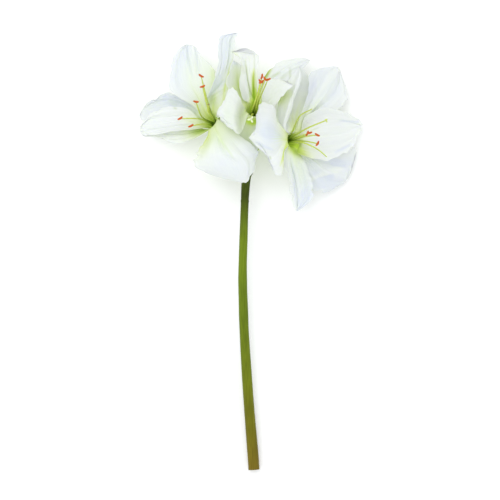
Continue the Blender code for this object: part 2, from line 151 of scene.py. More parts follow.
def tube(path, radii, sides, rings, dish=(), relief=None):
    """Circles of the given radii square to a smooth path, closed to a point at both ends. A dish adds
    circles at other heights on the end. Relief, a function of the share along and the angle round,
    gives what is added to each radius."""
    path = np.asarray(path, float)
    t = np.linspace(0, len(path) - 1, rings)
    line = curve(path, path[-1] - path[-2], t)
    size = np.interp(t, np.arange(len(radii)), radii)
    tangent = unit(np.gradient(line, axis=0))
    across = unit(np.cross(tangent[0], NO_PATHS_WAY))
    side = []
    for ahead in tangent:
        across = unit(across - (across @ ahead) * ahead)
        side.append(across)
    side = np.array(side)
    other = np.cross(tangent, side)
    turn = np.arange(sides) * 2 * np.pi / sides
    size = np.repeat(size[:, None], sides, axis=1)
    if relief is not None:
        size = size + relief(np.linspace(0, 1, rings)[:, None], turn[None, :])
    for radius, height in dish:
        line = np.concatenate([line, line[rings - 1 : rings] + height * tangent[-1:]])
        size = np.concatenate([size, np.full((1, sides), radius)])
        side = np.concatenate([side, side[-1:]])
        other = np.concatenate([other, other[-1:]])
    ring = np.cos(turn)[None, :, None] * side[:, None] + np.sin(turn)[None, :, None] * other[:, None]
    points = line[:, None] + ring * size[:, :, None]
    count = len(line)
    points = np.concatenate([points.reshape(-1, 3), line[:1], line[-1:]])
    index = np.arange(count * sides).reshape(count, sides)
    after = np.roll(index, -1, 1)
    quads = np.stack([index[:-1], index[1:], after[1:], after[:-1]], -1).reshape(-1, 4)
    first = np.full(sides, count * sides)
    caps = [np.stack([index[0], after[0], first], 1), np.stack([after[-1], index[-1], first + 1], 1)]
    return metres(points), quads, np.concatenate(caps)


scene = bpy.context.scene


def add_object(name, data):
    """An object in the scene that holds the data."""
    added = bpy.data.objects.new(name, data)
    scene.collection.objects.link(added)
    return added


def new_piece(name, points, quads, triangles, material):
    """A mesh object from whole arrays of points, four-sided faces and three-sided faces."""
    mesh = bpy.data.meshes.new(name)
    mesh.from_pydata((points + to_frame).astype(np.float32), [], quads.tolist() + triangles.tolist())
    mesh.validate()
    mesh.shade_smooth()
    mesh.materials.append(material)
    return add_object(name, mesh)


def foot_path(bloom):
    """A foot's own points, and on from them up the middle of the bloom's axis to its ring."""
    return FEET[bloom] + [ring_point(bloom, 0, 0, height) for height in FOOT_HEIGHTS]


# The sketch's place in the frame: its plain stalk has the same box as the frame's stalk
plain = [tube(SCAPE, SCAPE_RADII, *PLAIN_SCAPE)[0]]
plain += [tube(foot_path(bloom), FOOT_RADII, *PLAIN_FOOT, DISH)[0] for bloom in FEET]
to_frame = np.array(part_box("stalk")[0]) - np.concatenate(plain).min(axis=0)

# The scape's relief: how many flutes and how deep, the same for the finer ones between them, the two
# swellings, and the place along, width and height of the ring where growth paused
FLUTES, FLUTE_DEPTH = 17, 0.055
FINE_FLUTES, FINE_DEPTH = 31, 0.03
SLOW_SWELL, QUICK_SWELL = 0.07, 0.05
PAUSE_PLACE, PAUSE_WIDTH, PAUSE_HEIGHT = 0.303, 0.0032, 0.32

# A foot's relief: place along, width, number and height of the ovary's lobes, then the tube's ridges
OVARY_PLACE, OVARY_WIDTH = 0.5, 0.1
LOBES, LOBE_HEIGHT = 3, 0.35
RIDGES, RIDGE_HEIGHT = 6, 0.16


def bell(value, middle, width):
    """1 at the middle, falling off to either side as a bell."""
    return np.exp(-(((value - middle) / width) ** 2))


def scape_relief(share, turn):
    """Shallow flutes that wander round a little, slow swellings along the length, and one low ring."""
    wander = turn + 0.25 * np.sin(5 * share)
    flutes = FLUTE_DEPTH * np.cos(FLUTES * wander) + FINE_DEPTH * np.cos(FINE_FLUTES * turn + 9 * share)
    swell = SLOW_SWELL * np.sin(23 * share + turn) + QUICK_SWELL * np.sin(51 * share - 2 * turn)
    ring = PAUSE_HEIGHT * bell(share, PAUSE_PLACE, PAUSE_WIDTH) * (0.7 + 0.3 * np.cos(2 * turn))
    return (flutes + swell) * np.clip(share * 9, 0, 1) + ring


def foot_relief(share, turn):
    """Three round lobes where the ovary is, and six fine ridges up the tube."""
    ovary = LOBE_HEIGHT * bell(share, OVARY_PLACE, OVARY_WIDTH) * np.cos(LOBES * turn)
    ridges = RIDGE_HEIGHT * np.clip((share - 0.6) * 4, 0, 1) * np.cos(RIDGES * turn)
    return ovary + ridges * np.clip((1 - share) * 12, 0, 1)


def new_material(name):
    """A material, its node tree, and the one Principled shader in it."""
    material = bpy.data.materials.new(name)
    material.use_nodes = True
    return material, material.node_tree, material.node_tree.nodes["Principled BSDF"]


def fill(tree, node, inputs):
    """Each named input of the node, linked where what it gets is a socket, and set otherwise. A colour
    has three numbers."""
    for name, value in inputs.items():
        socket = node.inputs[name]
        if isinstance(value, bpy.types.NodeSocket):
            tree.links.new(value, socket)
        else:
            socket.default_value = (*value, 1) if socket.type == "RGBA" else value


def new_node(tree, kind, inputs):
    """A shader node of the kind, with its inputs filled."""
    node = tree.nodes.new("ShaderNode" + kind)
    fill(tree, node, inputs)
    return node


def ramp(tree, source, stops):
    """A colour ramp through the stops, each a place and a colour, read from the source socket."""
    node = new_node(tree, "ValToRGB", {"Fac": source})
    elements = node.color_ramp.elements
    for number, (place, colour) in enumerate(stops):
        element = elements[number] if number < 2 else elements.new(place)
        element.position = place
        element.color = (*colour, 1)
    return node.outputs["Color"]


def mix(tree, kind, factor, first, second):
    """Two colours mixed the named way, by a number or a socket."""
    node = new_node(tree, "Mix", {})
    node.data_type = "RGBA"
    node.blend_type = kind
    fill(tree, node, {"Factor": factor, "A": first, "B": second})
    return node.outputs["Result"]


def object_place(tree):
    """The object's own coordinates."""
    return new_node(tree, "TexCoord", {}).outputs["Object"]


def noise(tree, size, detail, scale=(1.0, 1.0, 1.0), place=None):
    """Noise on the place, or on the object's own coordinates, drawn out along the axes by the scale."""
    place = place or object_place(tree)
    drawn = new_node(tree, "Mapping", {"Vector": place, "Scale": scale}).outputs["Vector"]
    return new_node(tree, "TexNoise", {"Vector": drawn, "Scale": size, "Detail": detail}).outputs["Fac"]


def bump(tree, height, distance, strength):
    """Normals of a surface raised by the height."""
    inputs = {"Height": height, "Distance": distance, "Strength": strength}
    return new_node(tree, "Bump", inputs).outputs["Normal"]


def map_range(tree, source, low, high, top=1.0):
    """The source, from low to high, drawn out to 0 to the top and held there."""
    inputs = {"Value": source, "From Min": low, "From Max": high, "To Max": top}
    return new_node(tree, "MapRange", inputs).outputs["Result"]


def along_axis(tree, axis, first, second):
    """0 at the first sketch point and 1 at the second, along the named axis of the object."""
    split = new_node(tree, "SeparateXYZ", {"Vector": object_place(tree)})
    number = "XYZ".index(axis)
    low, high = (float(metres(point)[number] + to_frame[number]) for point in (first, second))
    return map_range(tree, split.outputs[axis], low, high)


# Skin of the scape: ochre at the cut end, then yellower green, mid green, and dark olive under the blooms,
# near-black at its darkest: that dark band is painted shadow of the blooms on the scape
CUT_END, TOP_END = (254, 470, 0), (248, 165, 0)
scape_skin, tree, shader = new_material("scape_skin")
green = ramp(tree, along_axis(tree, "Y", CUT_END, TOP_END), [
    (0.0, (0.18, 0.13, 0.01)),
    (0.12, (0.145, 0.132, 0.006)),
    (0.3, (0.15, 0.185, 0.007)),
    (0.5, (0.125, 0.18, 0.007)),
    (0.75, (0.15, 0.215, 0.009)),
    # Painted shadow: the near-black band where the blooms shade the scape
    (0.9, (0.043, 0.06, 0.003)),
    (1.0, (0.09, 0.14, 0.01)),
])
streaks = noise(tree, 700, 4, scale=(1.0, 0.03, 1.0))
blotches = noise(tree, 90, 3, scale=(1.0, 0.25, 1.0))
green = mix(tree, "OVERLAY", 0.35, green, ramp(tree, streaks, [(0.3, (0.25,) * 3), (0.7, (0.75,) * 3)]))
green = mix(tree, "OVERLAY", 0.25, green, ramp(tree, blotches, [(0.3, (0.3,) * 3), (0.7, (0.7,) * 3)]))
fill(tree, shader, {
    "Base Color": green,
    "Roughness": 0.5,
    "Specular IOR Level": 0.12,
    "Normal": bump(tree, streaks, distance=0.0002, strength=0.35),
})

# Skin of the feet and tubes: fresher green in small patches, and a faint glow in the same green all over,
# which is painted light that lifts the shade in the tubes' hollows
foot_skin, tree, shader = new_material("foot_skin")
patches = noise(tree, 160, 4)
fresh = ramp(tree, patches, [(0.3, (0.34, 0.5, 0.06)), (0.7, (0.46, 0.62, 0.12))])
fill(tree, shader, {
    "Base Color": fresh,
    "Roughness": 0.4,
    # Painted light: the skin glows faintly in its own green
    "Emission Color": fresh,
    "Emission Strength": 0.06,
    "Normal": bump(tree, patches, distance=0.0002, strength=0.3),
})

# Scape and feet are grown together: one closed skin round them all
scape = new_piece("scape", *tube(SCAPE, SCAPE_RADII, *FINE_SCAPE, CUT, scape_relief), scape_skin)
scape.data.materials.append(foot_skin)
others = bpy.data.collections.new("feet")
scene.collection.children.link(others)
for bloom in FEET:
    shape = tube(foot_path(bloom), FOOT_RADII, *FINE_FOOT, DISH, foot_relief)
    foot = new_piece(bloom + "_foot", *shape, foot_skin)
    scene.collection.objects.unlink(foot)
    others.objects.link(foot)
union = scape.modifiers.new("union", "BOOLEAN")
union.operation = "UNION"
union.solver = "MANIFOLD"
union.operand_type = "COLLECTION"
union.collection = others
joined = bpy.data.meshes.new_from_object(scape.evaluated_get(bpy.context.evaluated_depsgraph_get()))
scape.modifiers.clear()
scape.data = joined
joined.shade_smooth()
for foot in list(others.objects):
    bpy.data.objects.remove(foot)
bpy.data.collections.remove(others)
scape.name = "green_stalk"
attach(scape, "root")
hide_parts("stalk")

# The petals: six to a bloom, soft white tissue with fine ribs along it, grown together with the tube at
# the foot. They are thickest at the foot and along the midrib, thin and ruffled at the edges, and green
# where they meet in the throat.
RING_RADIUS = 5.2
FUNNEL_RADIUS, FUNNEL_HEIGHT = 9.0, 13.0
ACROSS, ALONG = 72, 96

# White tissue, with the casts that each petal's tints lay on it: a cool lavender that is painted shade,
# the tissue's own mint, and a dark olive that is painted shade; and fine veins along it
WHITE, PAINTED_COOL_SHADE, MINT_WHITE = (0.79, 0.83, 0.78), (0.66, 0.71, 0.77), (0.66, 0.76, 0.56)
# Painted shade: a dark olive for hollows and for petals that lie in the shade of others
OLIVE_SHADE = (0.3, 0.4, 0.08)
petal_skin, tree, shader = new_material("petal_skin")
tint = new_node(tree, "Attribute", {})
tint.attribute_name = "tint"
parts = new_node(tree, "SeparateColor", {"Color": tint.outputs["Color"]})
# Painted shade: the cool lavender of folds and of sides turned from the light
white = mix(tree, "MIX", parts.outputs["Green"], WHITE, PAINTED_COOL_SHADE)
white = mix(tree, "MIX", parts.outputs["Blue"], white, MINT_WHITE)
# Painted shade: the olive cast
white = mix(tree, "MIX", tint.outputs["Alpha"], white, OLIVE_SHADE)
sheet_place = new_node(tree, "UVMap", {})
sheet_place.uv_map = "petal"
veins = noise(tree, 60, 3, scale=(1.0, 0.045, 1.0), place=sheet_place.outputs["UV"])
white = mix(tree, "MULTIPLY", 0.2, white, ramp(tree, veins, [(0.35, (0.85, 0.87, 0.87)), (0.6, (1, 1, 1))]))

# Green of the throat over it, and a faint glow where the throat is in shade, which is painted light that
# stands in for light coming through the thin tissue
throat = ramp(tree, parts.outputs["Red"], [
    (0.0, (1.0, 1.0, 1.0)),
    (0.2, (0.93, 0.98, 0.72)),
    (0.4, (0.8, 0.9, 0.36)),
    (0.6, (0.68, 0.84, 0.14)),
    (0.8, (0.56, 0.76, 0.06)),
    # Painted shade: near-black, reached only where the deep shade cast is laid on
    (1.0, (0.04, 0.09, 0.004)),
])
colour = mix(tree, "MULTIPLY", 1.0, white, throat)
fill(tree, shader, {
    "Base Color": colour,
    "Roughness": 0.5,
    "Specular IOR Level": 0.3,
    "Subsurface Weight": 0.5,
    "Subsurface Radius": (0.9, 1.0, 0.6),
    "Subsurface Scale": 0.005,
    # Painted light: the throat glows faintly in its own colour
    "Emission Color": colour,
    "Emission Strength": map_range(tree, parts.outputs["Red"], 0.42, 0.8, top=0.16),
    "Normal": bump(tree, veins, distance=0.0004, strength=0.5),
})


def step(value, low, high):
    """0 below low, 1 above high, and a smooth S between; low may lie above high."""
    share = np.clip((value - low) / (high - low), 0, 1)
    return share * share * (3 - 2 * share)


def petal_sheet(bloom, sector, tucks, rows, tip, end, notches):
    """Middle surface of a petal: smooth lines along its left edge, midrib and right edge, and a parabola
    across through the three. The first two rows lie on the bloom's funnel, in the petal's sector. It
    stops short of the tip by the end, and by each notch, a bell across. Also gives s, from -1 at the
    left edge to 1 at the right, and u, from 0 at the foot to 1 at the tip."""
    angle, half = sector
    lines = []
    for turn, tuck in ((angle + half, tucks[0]), (angle, 0.0), (angle - half, tucks[1])):
        foot = ring_point(bloom, turn, RING_RADIUS, 0.0)
        lines.append([foot, ring_point(bloom, turn, FUNNEL_RADIUS + tuck, FUNNEL_HEIGHT)])
    for row in rows:
        for line, point in zip(lines, row):
            line.append(np.array(point, float))
    tip = np.array(tip, float)
    over = (lines[2][-1] - lines[0][-1]) / 2
    on = tip - lines[1][-1]
    for line in lines:
        line.append(tip)
    last = len(lines[1]) - 1
    s = np.linspace(-1, 1, ACROSS + 1)[None, :]
    share = 1 - (1 - np.linspace(0, 1, ALONG + 1)[:, None]) ** 1.25
    short = sum((deep * bell(s, place, width) for place, width, deep in notches), end + 0 * s)
    t = share * (last - end - (short - end) * share**6)
    left = curve(lines[0], 0.75 * over + 0.3 * on, t)
    middle = curve(lines[1], on, t)
    right = curve(lines[2], -0.75 * over + 0.3 * on, t)
    w = s[..., None]
    surface = left * w * (w - 1) / 2 + middle * (1 - w**2) + right * w * (w + 1) / 2
    return metres(surface), s, t / last


def normals_of(grid):
    """Unit normals of a grid of points, on the petal's inner side."""
    return unit(np.cross(np.gradient(grid, axis=1), np.gradient(grid, axis=0)))


# The least turn in radians of a rolled row, so that its radius stays a number
LEAST_TURN = 0.01


def rolled(grid, s, u, side, start, angle, low, high):
    """Rolls the margin on one side: past the start column, each row leaves its straight way to the edge
    for an arc of the same length, turned by the angle towards the inner side, or away if negative."""
    column = int(round((1 + side * start) / 2 * ACROSS))
    root = grid[:, column : column + 1]
    edge = grid[:, -1:] if side > 0 else grid[:, :1]
    way = unit(edge - root)
    up = normals_of(grid)[:, column : column + 1]
    up = unit(up - (up * way).sum(-1, keepdims=True) * way)
    turn = angle * step(u[:, :1], low - 0.06, low + 0.06) * step(u[:, :1], high + 0.06, high - 0.06)
    turn = np.where(np.abs(turn) < LEAST_TURN, LEAST_TURN, turn)[..., None]
    share = np.clip((side * s[..., None] - start) / (1 - start), 0, 1)
    radius = np.linalg.norm(edge - root, axis=-1, keepdims=True) / turn
    arc = root + radius * (np.sin(turn * share) * way + (1 - np.cos(turn * share)) * up)
    return np.where(share > 0, arc, grid)


# How far a margin wanders, as a share of the half width; how many ribs each half has; heights in metres
# of ribs, dents and the midrib's groove; thickness in metres at the margin, and what midrib and foot add
SLOW_WANDER, QUICK_WANDER = 0.04, 0.03
RIBS, RIB_HEIGHT = 8.5, 0.0001
DENT_HEIGHT, GROOVE_DEPTH = 0.00016, 0.0004
MARGIN_THICK, MIDRIB_THICK, FOOT_THICK = 0.00035, 0.0008, 0.0005


def grown(u):
    """0 up to three tenths of a petal's length, rising evenly to 1 just past six tenths."""
    return np.clip(u * 3 - 0.9, 0, 1)


def drawn_in(grid, s, u, shift, nicks):
    """Margins moved across the sheet, by two sines of the length, and inwards by a bell at each nick."""
    side, far = np.sign(s), np.abs(s)
    wander = SLOW_WANDER * np.sin(2 * np.pi * 5.3 * u + 2.1 * side + shift)
    wander += QUICK_WANDER * np.sin(2 * np.pi * 11.7 * u + side + 2 * shift)
    for edge, place, width, deep in nicks:
        wander -= deep * bell(u, place, width) * (side == edge)
    midrib = grid[:, ACROSS // 2 : ACROSS // 2 + 1]
    return grid + (grid - midrib) * (far**4 * grown(u) * wander)[..., None]


def petal_relief(s, u, ripple, folds):
    """What lies above the sheet: edge waves as a sine of the length times a power of the distance from
    the midrib, folds as bells across, ribs as a cosine across, slow dents as crossed sines, and a groove
    at the midrib."""
    height, waves, shift = ripple
    side, far = np.sign(s), np.abs(s)
    phase = waves * 2 * np.pi * u + shift + 1.1 * side
    lift = far**2.5 * (np.sin(phase) + 0.45 * np.sin(1.73 * phase + 2 * side + 0.6))
    lift += far**6 * (0.35 * np.sin(3.1 * phase + 1.7 * side) + 0.2 * np.sin(5.7 * phase + side))
    lift = lift * height * UNIT * grown(u)
    for place, moved, width, rise, start, stop in folds:
        reached = step(u, start - 0.08, start + 0.08) * step(u, stop + 0.08, stop - 0.08)
        lift += rise * UNIT * bell(s, place + moved * u, width) * reached
    outer = step(u, 0.05, 0.3) * step(u, 1.0, 0.85) * step(far, 1.0, 0.8)
    lift += RIB_HEIGHT * np.cos(2 * np.pi * RIBS * s + 1.4 * np.sin(4 * s + shift)) * outer
    dents = np.sin(9 * u + 4 * s + shift) * np.sin(5 * s - 13 * u + 2 * shift)
    dents += np.sin(23 * u - 6 * s) * np.sin(9 * s + 7 * u)
    lift += DENT_HEIGHT * dents * grown(u)
    return lift - GROOVE_DEPTH * bell(s, 0, 0.045) * step(u, 1.0, 0.75)


def blade(grid, thick):
    """A closed blade: the sheet moved to either side along its normals by half the thickness, and a rim
    of faces between the two."""
    off = normals_of(grid) * thick[..., None] / 2
    points = np.concatenate([grid + off, grid - off]).reshape(-1, 3)
    index = np.arange((ALONG + 1) * (ACROSS + 1)).reshape(ALONG + 1, ACROSS + 1)
    under = index.size
    top = np.stack([index[:-1, :-1], index[:-1, 1:], index[1:, 1:], index[1:, :-1]], -1).reshape(-1, 4)
    rim = np.concatenate([index[0, :-1], index[:-1, -1], index[-1, :0:-1], index[:0:-1, 0]])
    after = np.roll(rim, -1)
    edge = np.stack([rim, rim + under, after + under, after], 1)
    return points, np.concatenate([top, top[:, ::-1] + under, edge])


# The least height of a petal's point above the floor, in metres
FLOOR_GAP = 0.0002

# The casts that tint a petal: green, cool, mint and olive, of which cool and olive are painted shade. The
# last isn't a colour of its own: it is painted deep shade, and takes green on past its full amount to
# near-black
GREEN, COOL_SHADE, MINT, OLIVE_SHADE_CAST, DEEP_SHADE = range(5)
FULL_GREEN = 0.8


def stroked(points, marks):
    """Amounts of the casts at the points. A mark is a soft stroke between two places of the sketch as
    the viewer sees it: a bell of the distance from it, fading out towards its two ends."""
    up = points[..., 2:] / UNIT
    seen = points[..., :2] * [1.0, -1.0] / UNIT / (1 - up / SKETCH_HEIGHT) + SKETCH_MIDDLE
    amounts = np.zeros(points.shape[:2] + (DEEP_SHADE + 1,))
    for cast, start, end, width, amount in marks:
        way = np.subtract(end, start)
        share = np.clip((seen - start) @ way / (way @ way), 0, 1)
        gap = np.linalg.norm(seen - start - share[..., None] * way, axis=-1)
        amounts[..., cast] += amount * bell(gap, 0, width) * np.sqrt(4 * share * (1 - share))
    return amounts


def petal_tints(grid, s, u, green, tint_and_shade_patches, back, marks):
    """Four casts at each point, for the inner and then the outer face: the throat's green as a power of the
    distance left of its reach, the patches of tint and painted shade as a bell across times a bell along,
    the marks, and green along the middle of the outer face."""
    reach, depth = green
    streaky = 0.04 * np.cos(2 * np.pi * RIBS * s) + 0.05 * bell(s, 0, 0.12)
    inner = stroked(grid, marks)
    inner[..., GREEN] += depth * np.clip(1 - (u - streaky) / reach, 0, 1) ** 1.3
    for cast, across, along, wide, long, amount in tint_and_shade_patches:
        inner[..., cast] += amount * bell(s, across, wide) * bell(u, along, long)
    outer = inner.copy()
    midrib = 1 - 0.7 * bell(s, 0, 0.08)
    outer[..., GREEN] += back * step(np.abs(s), 1.0, 0.7) * midrib * step(u, 1.0, 0.5)
    tints = np.clip(np.stack([inner, outer]), 0, 1).reshape(-1, DEEP_SHADE + 1)
    throat_part = FULL_GREEN * tints[:, GREEN]
    tints[:, GREEN] = throat_part + (1 - throat_part) * tints[:, DEEP_SHADE]
    return tints[:, :DEEP_SHADE].astype(np.float32)


def petal(name, sector, tucks, rows, tip, ripple, spread=3, end=0.03, green=(0.45, 1.0), back=0.15,
          notches=(), nicks=(), rolls=(), folds=(), tint_and_shade_patches=(), marks=()):
    """A whole petal: its sheet, rolled, drawn in and with its relief, as a blade that thins out from the
    midrib by a power of the distance and from the foot by a smooth step. No point lies lower than just
    above the floor."""
    bloom = name.split("_")[0]
    grid, s, u = petal_sheet(bloom, (sector[0], sector[1] + spread), tucks, rows, tip, end, notches)
    for roll in rolls:
        grid = rolled(grid, s, u, *roll)
    grid = drawn_in(grid, s, u, ripple[2], nicks)
    grid = grid + normals_of(grid) * petal_relief(s, u, ripple, folds)[..., None]
    thick = MIDRIB_THICK * (1 - np.abs(s)) ** 1.3 * (1 - 0.6 * u)
    points, quads = blade(grid, MARGIN_THICK + thick + FOOT_THICK * step(u, 0.25, 0.0))
    points[:, 2] = np.maximum(points[:, 2], FLOOR_GAP - to_frame[2])
    piece = new_piece(name + "_blade", points, quads, np.empty((0, 3), int), petal_skin)
    layer = piece.data.color_attributes.new("tint", "FLOAT_COLOR", "POINT")
    layer.data.foreach_set("color", petal_tints(grid, s, u, green, tint_and_shade_patches, back, marks).ravel())
    flat = np.stack([(s + 1) / 2 + 0 * u, u + 0 * s], -1).reshape(-1, 2)
    flat = np.tile(flat, (2, 1)).astype(np.float32)
    corner = np.empty(len(piece.data.loops), np.int32)
    piece.data.loops.foreach_get("vertex_index", corner)
    sheet_map = piece.data.uv_layers.new(name="petal")
    sheet_map.data.foreach_set("uv", flat[corner].ravel())
    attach(piece, "root")
    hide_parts(name)


# Each petal's form: the middle and half width in degrees of its sector on the ring, the tucks of its two
# edges, rows of (left, midrib, right), tip, and ripple: height, number of waves, shift.
# Then what it has of its own. spread: degrees that its foot is wider on the ring. end: how blunt its tip
# is. green: how far and how deep the throat's green reaches. back: the green of its outer face.
# notches, in the end: across, width, depth. nicks, in a margin: side, along, width, depth.
# rolls: side, start, angle, from, to. folds: across at the foot, move to the tip, width, rise, from, to.
# tint_and_shade_patches: cast, across, along, wide, long, amount. marks on the sketch: cast, from, to,
# width, amount.
# In both, the cool, olive and deep casts are painted shade, green and mint the tissue's own, and a negative
# amount takes a cast away again.
petal("left_petal_1", (37, 20), (-0.6, 0.6), [
    ((192, 105, 9), (199, 99, 4), (209, 98, 4)),
    ((172, 92, 10), (190, 81, 5), (216, 80, 7)),
    ((170, 73, 6), (188, 63, 1), (212, 67, 3)),
    ((174, 57, 1), (188, 52, -3), (201, 57, 1)),
    ((180.5, 48, -3), (189, 46.5, -5), (197.5, 49, -2)),
], (189, 43, -6), (1, 2.5, 0), end=0.45, green=(0.38, 0.9), notches=[(0.1, 0.12, 0.22)],
    nicks=[(1, 0.93, 0.04, 0.15)],
    folds=[(0.65, -1, 0.07, -1.9, 0.5, 0.9), (0.35, -0.3, 0.12, 0.9, 0.5, 0.9),
        (0, 0.8, 0.08, -1.7, 0.48, 0.9), (-0.5, 0, 0.12, -0.9, 0.45, 0.9),
        (-0.75, 0.1, 0.12, 0.8, 0.4, 0.9)],
    tint_and_shade_patches=[(COOL_SHADE, -0.3, 0.8, 0.7, 0.4, 0.8), (MINT, 0.9, 0.42, 0.35, 0.2, 0.9),
        (MINT, 0.2, 0.45, 0.6, 0.2, 0.4), (COOL_SHADE, -0.6, 0.5, 0.5, 0.2, 0.4)],
    marks=[(GREEN, (213, 62), (213, 90), 2.5, 0.25), (COOL_SHADE, (182, 46), (193, 78), 1.2, 0.7),
        (COOL_SHADE, (195, 46), (200, 78), 1.2, 0.7)])
petal("left_petal_2", (82, 20), (0.6, 0.6), [
    ((189, 117, -2), (187, 108, -5), (190, 99, -2)),
    ((168, 118, -9), (167, 105, -13), (169, 93, -9)),
    ((151, 120, -18), (151, 109, -20), (153, 99, -17)),
    ((144, 121, -23), (143, 114, -24), (144, 107, -21)),
], (138.5, 117, -28.2), (1.1, 3, 0.6), end=0.3, green=(0.35, 0.9),
    nicks=[(1, 0.45, 0.03, 0.12), (1, 0.62, 0.025, 0.15), (1, 0.8, 0.03, 0.12)],
    folds=[(-0.1, 0.9, 0.14, -1.3, 0.3, 0.9), (0.3, 0.6, 0.12, 0.8, 0.3, 0.9),
        (0.6, 0.3, 0.08, -1, 0.3, 0.9)],
    tint_and_shade_patches=[(COOL_SHADE, 0.3, 0.4, 1.2, 0.35, 0.9)],
    marks=[(COOL_SHADE, (163, 96), (178, 106), 4, 0.9), (OLIVE_SHADE_CAST, (168, 100), (178, 106), 2.5, 0.15)])
petal("left_petal_3", (128, 21), (-0.6, -0.6), [
    ((188, 130, 9), (186, 120, 5), (188, 109, 7)),
    ((168, 132, 9), (166, 122, 4), (168, 107, 6)),
    ((151, 135, 5), (150, 125, 1), (153, 112, 4)),
    ((143, 136, 1), (143, 129, -1), (144, 121, 1)),
], (139, 130, -3), (1.1, 3, 1.4), end=0.3, green=(0.4, 0.9), notches=[(0.1, 0.2, 0.25)],
    nicks=[(1, 0.75, 0.03, 0.2), (-1, 0.8, 0.03, 0.12)],
    folds=[(0.1, 0.7, 0.08, -1.4, 0.35, 0.95), (-0.45, 0.1, 0.09, -1.3, 0.3, 0.95),
        (-0.2, 0.3, 0.1, 0.9, 0.35, 0.9), (-0.8, 0, 0.08, -0.8, 0.3, 0.9),
        (0.6, 0.2, 0.08, 0.8, 0.3, 0.8)],
    marks=[(OLIVE_SHADE_CAST, (173, 107.5), (177, 109), 1, 0.4), (OLIVE_SHADE_CAST, (137, 123), (140, 126), 1.2, 0.3)])
petal("left_petal_4", (174, 20), (0.6, 0.6), [
    ((191, 140, 9), (189, 133, 2), (189, 124, -2)),
    ((171, 143, 4), (169, 134, -2), (170, 125, -6)),
    ((155, 137, -2), (153, 132, -5), (154, 126, -8)),
], (142, 136, -6), (0.8, 3, 2.2), end=0.1, green=(0.55, 1), nicks=[(-1, 0.7, 0.04, 0.15)],
    folds=[(0, 0, 0.1, -0.8, 0.3, 0.9), (-0.5, 0, 0.1, -0.7, 0.3, 0.9)],
    tint_and_shade_patches=[(OLIVE_SHADE_CAST, 0, 0.25, 1, 0.13, 0.8)],
    marks=[(OLIVE_SHADE_CAST, (188, 134), (214, 131), 3, 0.25)])
petal("left_petal_5", (339, 32), (-0.6, 0), [
    ((205.5, 102, 15), (215, 98, 9), (229, 99, 11)),
    ((211.5, 87, 16), (221, 80, 8), (229.5, 78, 6)),
    ((218, 66, 10), (226, 62, 4), (233, 60, 2)),
    ((218, 45, 5), (227, 46, 0), (235, 46, -1)),
    ((221, 36, 3), (229, 37, -1), (236, 39, -3)),
], (237.5, 32.5, -6), (1, 3.2, 0.3), end=0.12, green=(0.38, 0.9),
    nicks=[(1, 0.86, 0.03, 0.15), (-1, 0.6, 0.04, 0.1)],
    folds=[(0.3, 0.1, 0.12, -1.3, 0.5, 0.85), (0, 0.2, 0.15, 1, 0.55, 0.9),
        (-0.5, 0, 0.1, -1, 0.5, 0.9), (-3.3, 9, 0.22, -2.2, 0.29, 0.4),
        (-2.6, 9, 0.22, 1.6, 0.29, 0.4)],
    tint_and_shade_patches=[(COOL_SHADE, -0.6, 0.75, 0.6, 0.4, 0.7), (MINT, 0.5, 0.6, 0.5, 0.3, 0.3),
        (GREEN, 1, 0.4, 0.25, 0.16, 0.5), (COOL_SHADE, -0.8, 0.42, 0.4, 0.08, 0.8),
        (COOL_SHADE, 0.2, 0.8, 1, 0.4, 0.8), (OLIVE_SHADE_CAST, -0.4, 0.27, 0.3, 0.05, 0.5),
        (OLIVE_SHADE_CAST, 1, 0.38, 0.15, 0.14, 0.4)],
    marks=[(OLIVE_SHADE_CAST, (211, 97), (224, 89), 1, 0.3), (OLIVE_SHADE_CAST, (214, 94), (215, 110), 3, 0.25),
        (GREEN, (231, 62), (224, 92), 1.3, 0.3), (GREEN, (225, 82), (223, 104), 1.4, 0.3),
        (COOL_SHADE, (209, 100), (215, 84), 3, 0.7), (COOL_SHADE, (213, 88), (226, 80), 3, 0.7)])
petal("left_petal_6", (239, 39), (2, -0.6), [
    ((238, 134, 24), (221, 139, 25), (207, 137, 21)),
    ((254, 147, 26), (227, 153, 31), (200, 148, 23)),
    ((258.5, 155, 24), (234, 163, 32), (194.5, 160, 22)),
    ((253.5, 168, 21), (239, 173, 30), (206, 173, 20)),
], (244, 183.5, 24), (1, 2.5, 1), end=0.1, green=(0.42, 0.7),
    folds=[(0.35, -0.6, 0.09, -1.8, 0.33, 0.65), (-0.1, -0.4, 0.14, 1.3, 0.5, 0.95),
        (-0.55, 0, 0.12, -1.2, 0.4, 0.9)],
    tint_and_shade_patches=[(MINT, 0.3, 0.35, 0.8, 0.15, 0.6), (GREEN, 1, 0.38, 0.3, 0.2, 0.45),
        (COOL_SHADE, 0.1, 0.7, 0.6, 0.25, 0.5), (COOL_SHADE, -0.9, 0.6, 0.3, 0.2, 0.6),
        (OLIVE_SHADE_CAST, -1, 0.3, 0.3, 0.12, 0.35), (OLIVE_SHADE_CAST, 1, 0.36, 0.25, 0.14, 0.2)],
    marks=[(OLIVE_SHADE_CAST, (216, 130), (199, 160), 3, 0.18), (MINT, (219, 138), (234, 158), 1.2, 0.6)])
